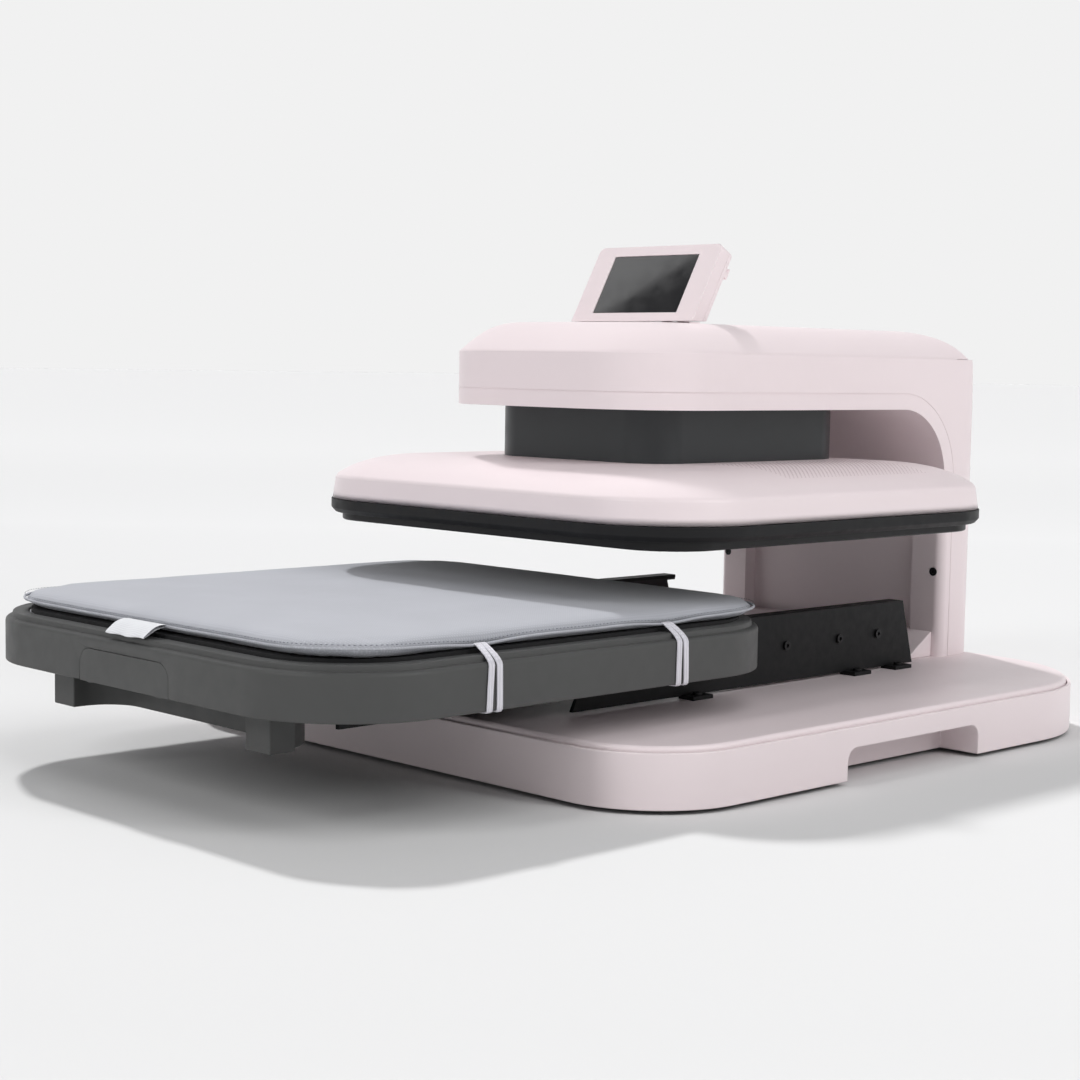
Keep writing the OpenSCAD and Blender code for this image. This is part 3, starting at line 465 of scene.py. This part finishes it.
def curve_through(points, steps=5):
    """Catmull-Rom curve through points of any size."""
    out = []
    ext = [points[0]] + list(points) + [points[-1]]
    for i in range(1, len(ext) - 2):
        a, b, c, d = ext[i - 1:i + 3]
        for k in range(steps):
            t = k / steps
            out.append(tuple(0.5 * (2 * q + (r - p) * t + (2 * p - 5 * q + 4 * r - s) * t * t
                                    + (3 * q - p - 3 * r + s) * t ** 3) for p, q, r, s in zip(a, b, c, d)))
    out.append(tuple(points[-1]))
    return out


def shell(name, plan, profile, **how):
    """Loft of a plan (half width, front, back, front and rear radius) along (inset, height) points."""
    hw, y0, y1, rf, rb = plan
    rings = [ring(hw - i, y0 + i, y1 - i, max(rf - i, 1), max(rb - i, 1), z) for i, z in profile]
    return loft(name, rings, **how)


# ---------------------------------------------------------------- base

cover = shell("base_cover_top", (277, -293, 287, 78, 128),
              rounded([(6.8, 38), (3.8, 38, 0.5), (3.8, 44.9, 3.2), (14, 45.0), (60, 45.0)]), cap_high=True)
finish_piece(cover, "press_body", "pink_cover", ["base_cover"])
even_normals(cover)
soften("base_shell", 0.9)
soften("foot_ramp", 1.0)

# ---------------------------------------------------------------- column and head

HEAD_HW, HEAD_FRONT, HEAD_BACK = 125, -143, 268
HEAD_R, HEAD_BACK_R = 70, 30
HEAD_BOTTOM, HEAD_SEAM = 258.6, 301.5
THROAT_Y, THROAT_Z, THROAT_R = 171, 198.6, 60  # centre and radius of the turn from column to head
COLUMN_FRONT = 231
LINING_W = 13  # the lining's visible edge beside the throat
DEPTH = 0.4  # of the grooves' floors under the covers
GROOVE = 1.4  # half width of the strip in the lining's groove

soften("outer_cover", 0.5)
soften("inner_cover", 1.3, 3)


def lining_groove():
    """Floor of the groove between side cover and lining: round the head's front, then down each side."""
    plan = ring(HEAD_HW - DEPTH, HEAD_FRONT + DEPTH, 300, HEAD_R - DEPTH, 20, 0, side=24)
    front = sorted((p for p in plan if p[1] <= THROAT_Y), key=lambda p: math.atan2(p[0], -(p[1] - 100)))
    low, high = HEAD_BOTTOM + LINING_W - GROOVE, HEAD_BOTTOM + LINING_W + GROOVE
    strip = [((x, y, low), (x, y, high)) for x, y, _ in front]
    x = HEAD_HW - DEPTH
    r = THROAT_R + LINING_W
    right = []
    for a in range(88, -1, -4):
        c, s = math.cos(math.radians(a)), math.sin(math.radians(a))
        right.append(tuple((x, THROAT_Y + q * c, THROAT_Z + q * s) for q in (r - GROOVE, r + GROOVE)))
    y = COLUMN_FRONT + LINING_W
    right += [((x, y - GROOVE, z), (x, y + GROOVE, z)) for z in (150, 100, 46)]
    left = [tuple((-p[0], p[1], p[2]) for p in pair) for pair in reversed(right)]
    pairs = left + strip + right
    ob = piece("lining_seam", [p for pair in pairs for p in pair],
               [(2 * i, 2 * i + 2, 2 * i + 3, 2 * i + 1) for i in range(len(pairs) - 1)])
    ob.modifiers.new("depth", "SOLIDIFY").thickness = 0.0015
    ob.modifiers["depth"].offset = -1
    apply_all(ob)
    return ob


finish_piece(lining_groove(), "press_body", "pink_cover")
lip = (HEAD_HW - DEPTH, HEAD_FRONT + DEPTH, HEAD_BACK - DEPTH, HEAD_R - DEPTH, HEAD_BACK_R - DEPTH)
low, high = HEAD_SEAM - 2, HEAD_SEAM + 0.5
ob = shell("head_seam_lip", lip, [(2, low), (0, low), (0, high), (2, high)], loop=True)
finish_piece(ob, "press_body", "pink_cover")

# (inset at the front and sides, height, inset at the back) up the domed top
shoulder = [(1.2, 301.2, 0.2), (1.4, 302, 0.3)] + curve_through(
    [(2.6, 303.2, 1), (7.5, 307.6, 2.4), (14, 312.8, 6), (22, 318.0, 14), (31, 321.9, 25), (42, 324.3, 38),
     (54, 325, 52)])
top = loft("head_top", [ring(HEAD_HW - a, HEAD_FRONT + a, HEAD_BACK - c, HEAD_R - a, 8, z)
                        for a, z, c in shoulder], cap_low=True, cap_high=True)
finish_piece(top, "press_body", "pink_cover", ["head_top_cover"])
even_normals(top)

# ---------------------------------------------------------------- platen

PLATEN = (212, -212, 214, 85, 85)

dome = [(1, 180.2), (1.8, 186), (2.9, 194)] + curve_through(
    [(3.4, 197), (4.6, 199.3), (7.2, 201.3), (15, 205.6), (24, 209.2), (38, 213), (56, 215.8), (74, 216.8),
     (92, 217)])
platen_dome = shell("platen_dome", PLATEN, dome, cap_low=True, cap_high=True)
finish_piece(platen_dome, "platen", "pink_cover", ["platen_cover"])
even_normals(platen_dome)

trim = rounded([(17.5, 172.8), (17.5, 169, 0.4), (3.2, 169, 1.2), (0, 172.6, 1.5), (0, 180, 0.6), (30, 180)])
ob = shell("platen_trim", PLATEN, trim)
finish_piece(ob, "platen", "black_trim", ["trim_band"])
even_normals(ob)

ob = shell("heat_plate_soft", (195, -193, 193, 45, 45),
           rounded([(60, 162), (0, 162, 1.6), (0, 173, 0.6), (60, 173)]), cap_low=True, cap_high=True)
finish_piece(ob, "platen", "coated_aluminium", ["heat_plate"])
even_normals(ob)

ob = shell("shroud", (92, -101, 135, 33, 33),
           rounded([(2.5, 217, 0), (0, 217, 0.5), (0, 299, 0.5), (2.5, 299)], loop=True), loop=True)
finish_piece(ob, "platen", "shroud_grey", ["ram_shroud"])
even_normals(ob)

# ---------------------------------------------------------------- tray

wall = rounded([(3.5, 74.5, 0.5), (0, 74.5, 0.8), (0, 105.5, 3.2), (4.6, 105.7, 0.5), (5.2, 109.5, 1.2),
                (16, 109.5, 0.8), (16, 106, 0), (3.5, 102.5, 0)], True)
ob = shell("tray_wall", (213, -508, -64, 85, 85), wall, loop=True)
HATCH_HW, HATCH_LOW, HATCH_TURN, HATCH_R = 53, 70, 85.5, 12
hatch = [(-HATCH_HW, HATCH_LOW), (-HATCH_HW, HATCH_TURN)]
for degrees in range(15, 91, 15):
    a = math.radians(degrees)
    hatch.append((HATCH_R - HATCH_HW - HATCH_R * math.cos(a), HATCH_TURN + HATCH_R * math.sin(a)))
hatch += [(-x, z) for x, z in reversed(hatch)]
cut(ob, piece("hatch_space", [(x, y, z) for y in (-512, -504.4) for x, z in hatch], prism(len(hatch))))
slides = ((-150, 60), (-150, 101.5), (150, 101.5), (150, 60))
cut(ob, piece("slide_space", [(x, y, z) for y in (-84, -60) for x, z in slides], prism(4)))
finish_piece(ob, "tray", "grey_plastic", ["tray_shell"])
even_normals(ob)
soften("handle_bar", 1.2)
soften("front_panel", 0.4)

# ---------------------------------------------------------------- mat, label and straps

MAT_HW, MAT_FRONT, MAT_BACK, MAT_R = 198.4, -489.4, -69.6, 56
MAT_MIDDLE = -277
MAT_UNDER, MAT_SEAM, MAT_TOP = 112.2, 116.8, 122.3
STRAP_Y = (-373, -199)


def seam_height(x, y):
    """Height of the mat's seam: pulled down at the straps, a little raised at the corners."""
    z = MAT_SEAM + 0.4 * noise.noise(Vector((x, y, 7)) * 0.02)
    for sy in STRAP_Y:
        if abs(x) > 150:
            z -= 2.2 * math.exp(-((y - sy) / 26) ** 2)
    corner = max(0, min(abs(x) - 130, 70)) / 70 * max(0, min(abs(y - MAT_MIDDLE) - 140, 72)) / 72
    return z + 2.4 * corner


def mat_rings(shrink):
    """Rings of the mat from the middle of its underside, round the seam, to the middle of its top."""
    # (distance in from the edge, share of the way from the face to the seam)
    steps = [(150, 0), (90, 0), (50, 0), (24, 0), (16, 0.01), (9, 0.06), (5, 0.17), (2.4, 0.36),
             (0.9, 0.6), (0.1, 0.86), (0, 1)]
    rings = []
    for face, run in ((MAT_UNDER, steps), (MAT_TOP, steps[::-1][1:])):
        for inset, k in run:
            a = inset + shrink
            r = max(MAT_R - a, 4)
            out = []
            for x, y, _ in ring(MAT_HW - a, MAT_FRONT + a, MAT_BACK - a, r, r, 0, side=40):
                wave = 0.0
                if face == MAT_TOP:
                    wave = 0.5 * noise.noise(Vector((x, y, 0)) * 0.011) * min(1, inset / 30)
                out.append((x, y, seam_height(x, y) * k + (face + wave) * (1 - k)))
            rings.append(out)
    return rings


def inflate(ob, limit, frames=16, pressure=3.5):
    """Swells a closed form with Blender's cloth; no point may move further than limit, in metres."""
    m = ob.modifiers.new("even", "REMESH")
    m.mode, m.voxel_size, m.use_smooth_shade = "VOXEL", 0.0045, True
    apply_all(ob)
    start = [v.co.copy() for v in ob.data.vertices]
    cloth = ob.modifiers.new("cloth", "CLOTH")
    c = cloth.settings
    c.use_pressure, c.uniform_pressure_force = True, pressure
    c.effector_weights.gravity = 0
    c.tension_stiffness = c.compression_stiffness = 12
    c.bending_stiffness = 1.2
    c.quality = 4
    cloth.point_cache.frame_start, cloth.point_cache.frame_end = 1, frames
    for f in range(1, frames + 1):
        scene.frame_set(f)
    apply_all(ob)
    scene.frame_set(1)
    for v, s in zip(ob.data.vertices, start):
        d = v.co - s
        if d.length > limit:
            v.co = s + d * (limit / d.length)


mat_pad = loft("mat_pad", mat_rings(0.8), cap_low=True, cap_high=True)
inflate(mat_pad, 0.0012)
for v in mat_pad.data.vertices:  # clear of the bed below and of the platen above, in metres
    v.co.z = min(max(v.co.z, 0.1117), 0.1237)
finish_piece(mat_pad, "tray", "mat_fabric", ["mat"])


def tube(name, points, radius, sides=6):
    """A thin round cord along a closed line of points, in millimetres."""
    n = len(points)
    pts = [Vector(p) for p in points]
    verts, faces = [], []
    for i, p in enumerate(pts):
        t = (pts[(i + 1) % n] - pts[i - 1]).normalized()
        a = t.cross(Vector((0, 0, 1))).normalized()
        b = a.cross(t).normalized()
        for k in range(sides):
            turn = 2 * math.pi * k / sides
            verts.append(p + a * (radius * math.cos(turn)) + b * (radius * math.sin(turn)))
        j = (i + 1) % n
        faces += [(i * sides + k, i * sides + (k + 1) % sides, j * sides + (k + 1) % sides, j * sides + k)
                  for k in range(sides)]
    return piece(name, verts, faces)


def around(inset):
    """The mat's outline, inset from its edge."""
    r = MAT_R - inset
    return [(x, y) for x, y, _ in ring(MAT_HW - inset, MAT_FRONT + inset, MAT_BACK - inset, r, r, 0, 24, 60)]


def resample(points, step):
    """Points at even spacing along a closed line."""
    out, left = [], 0.0
    for a, b in zip(points, points[1:] + points[:1]):
        a, b = Vector(a), Vector(b)
        length = (b - a).length
        while left < length:
            out.append(a + (b - a) * (left / length))
            left += step
        left -= length
    return out


seam_line = [(x, y, seam_height(x, y)) for x, y in around(0.7)]
ob = tube("mat_piping", seam_line, 1.0)
finish_piece(ob, "tray", "mat_fabric")

# Lockstitches 4 mm along the edge, a little inside the seam on its upper side.
path = resample([(x, y, seam_height(x, y) + 2.6) for x, y in around(0.9)], 3.4)
verts, faces = [], []
for i in range(len(path)):
    a, b = path[i], path[(i + 1) % len(path)]
    d = (b - a).normalized()
    side = d.cross(Vector((0, 0, 1))).normalized() * 0.28
    lift = Vector((0, 0, 0.28))
    p, q, m = a + d * 0.4, b - d * 0.4, (a + b) / 2
    base = len(verts)
    verts += [p, m - side, m + side, q, m + lift, m - lift]
    faces += [tuple(base + k for k in f) for f in
              ((0, 1, 4), (0, 4, 2), (0, 5, 1), (0, 2, 5), (3, 4, 1), (3, 2, 4), (3, 1, 5), (3, 5, 2))]
ob = piece("mat_stitches", verts, faces)
finish_piece(ob, "tray", "mat_fabric")
ob.data.materials[0] = M["grey_thread"]


# Section of a flat band: shares of its width and thickness, round its bevelled corners.
BAND_SECTION = ((-0.5, -0.3), (-0.42, -0.5), (0.42, -0.5), (0.5, -0.3), (0.5, 0.3), (0.42, 0.5),
                (-0.42, 0.5), (-0.5, 0.3))


def band(name, path, width, thick):
    """A flat band along path, whose width lies along Y."""
    verts, faces = [], []
    pts = [Vector(p) for p in path]
    n = len(pts)
    for i, p in enumerate(pts):
        t = (pts[min(i + 1, n - 1)] - pts[max(i - 1, 0)])
        t.y = 0
        t.normalize()
        up = Vector((-t.z, 0, t.x))
        for dy, dn in BAND_SECTION:
            verts.append(p + Vector((0, dy * width, 0)) + up * (dn * thick))
    for i in range(n - 1):
        faces += [(i * 8 + k, i * 8 + (k + 1) % 8, i * 8 + 8 + (k + 1) % 8, i * 8 + 8 + k) for k in range(8)]
    faces += [tuple(range(8))[::-1], tuple(range(n * 8 - 8, n * 8))]
    return piece(name, verts, faces)


# Where each strap meets the mat, its two bands stand this far from its middle, and then this far below.
STRAP_SPREAD = {"front": ((-2.4, -5.2), (2.4, 3.4)), "rear": ((-2.4, -3.6), (2.4, 4.0))}
STRAP_FALL = 42  # length over which the bands spread

for side, tag in ((1, "right"), (-1, "left")):
    for sy, end in zip(STRAP_Y, ("front", "rear")):
        z0 = seam_height(200, sy)
        run = [(197.6, z0 + 1.0), (199.8, z0 + 0.2), (204.6, 112.2), (207.2, 110.4), (208.6, 109.6),
               (211.4, 107.2), (213.1, 105.4), (213.7, 103.6), (213.75, 98), (213.75, 88), (213.75, 78),
               (213.6, 75), (212.6, 73.9), (206, 73.6), (199, 73.6)]
        for k, (near, far) in enumerate(STRAP_SPREAD[end]):
            path, length = [], 0
            for i, (x, z) in enumerate(run):
                if i:
                    length += math.dist(run[i], run[i - 1])
                t = min(1, length / STRAP_FALL)
                path.append((side * x, sy + near + (far - near) * t, z))
            ob = band(f"strap_{tag}_{end}_{k}", path, 5.0, 0.95)
            finish_piece(ob, "tray", "strap_elastic", ["mat_straps"])

# Blank label, folded over and sewn into the seam at the middle of the front edge.
LABEL = 45
run = curve_through([(-488.6, 117.9), (-493, 118.1), (-498.5, 116.6), (-503.5, 113.2), (-506.4, 110.8),
                     (-506.9, 110.1), (-506.2, 110.0), (-502, 112.1), (-496, 115.2), (-489.4, 116.6)], 3)
nx = 14
verts = []
for j, (y, z) in enumerate(run):
    out = math.sin(math.pi * j / (len(run) - 1))
    for i in range(nx + 1):
        x = -LABEL / 2 + LABEL * i / nx
        ripple = noise.noise(Vector((x * 0.06, j * 0.02, 2)))
        verts.append((x, y - 0.8 * out * math.sin(i * 0.9), z + 0.9 * out * ripple))
faces = [(j * (nx + 1) + i, j * (nx + 1) + i + 1, (j + 1) * (nx + 1) + i + 1, (j + 1) * (nx + 1) + i)
         for j in range(len(run) - 1) for i in range(nx)]
label = piece("mat_label", verts, faces)
finish_piece(label, "tray", "tag_fabric", ["mat_tag"])

# ---------------------------------------------------------------- vent patch on the platen cover

VENT_X, VENT_Y = (104, 190), (-62, 128)
VENT_PITCH = 2.3  # half the diagonal pitch of the holes


def hole(verts, faces, at, normal, r):
    """Adds a short dark plug of eight sides, just proud of the cover, to a list of points and faces; the
    plug is no opening, and its dark colour is painted shade standing for a hole's inside.
    """
    a = normal.orthogonal().normalized()
    b = normal.cross(a)
    base = len(verts)
    for sink in (0, 0.3):
        verts += [at - normal * sink + a * r * math.cos(k * math.pi / 4) + b * r * math.sin(k * math.pi / 4)
                  for k in range(8)]
    faces.append(tuple(range(base, base + 8)))
    faces.append(tuple(range(base + 8, base + 16))[::-1])
    faces += [(base + k, base + (k + 1) % 8, base + 8 + (k + 1) % 8, base + 8 + k) for k in range(8)]


bpy.context.view_layer.update()
verts, faces = [], []
for i in range(-60, 60):
    for j in range(-60, 60):
        x, y = 145 + (i + j) * VENT_PITCH, 20 + (i - j) * VENT_PITCH
        if not (VENT_Y[0] < y < VENT_Y[1] and VENT_X[0] < x < VENT_X[1]):
            continue
        # The holes get smaller towards the edges of the patch, and stop.
        size = min(1, (x - VENT_X[0]) / 20, (VENT_X[1] - x) / 14, (y - VENT_Y[0]) / 26, (VENT_Y[1] - y) / 26)
        if size < 0.3:
            continue
        hit, at, normal, _ = platen_dome.ray_cast(Vector((x, y, 300)) * 0.001, Vector((0, 0, -1)))
        if hit:
            hole(verts, faces, at * 1000 + normal * 0.04, normal, 0.42 + 0.30 * size)
vents = piece("vent_holes", verts, faces)
finish_piece(vents, "platen", "pink_cover")
# The plugs' dark pink is painted shade for the holes' insides.
vents.data.materials[0] = M["vent_painted_shade"]

# ---------------------------------------------------------------- rails, screws, screen

for n in ("rail_bracket_left", "rail_bracket_right"):
    soften(n, 0.9)
for n in ("rail_screws", "column_screws"):
    soften(n, 0.3)
for n in ("screen_bezel", "screen_back"):
    soften(n, 1.0)
soften("display_glass", 0.3)
soften("hinge_base", 0.3)
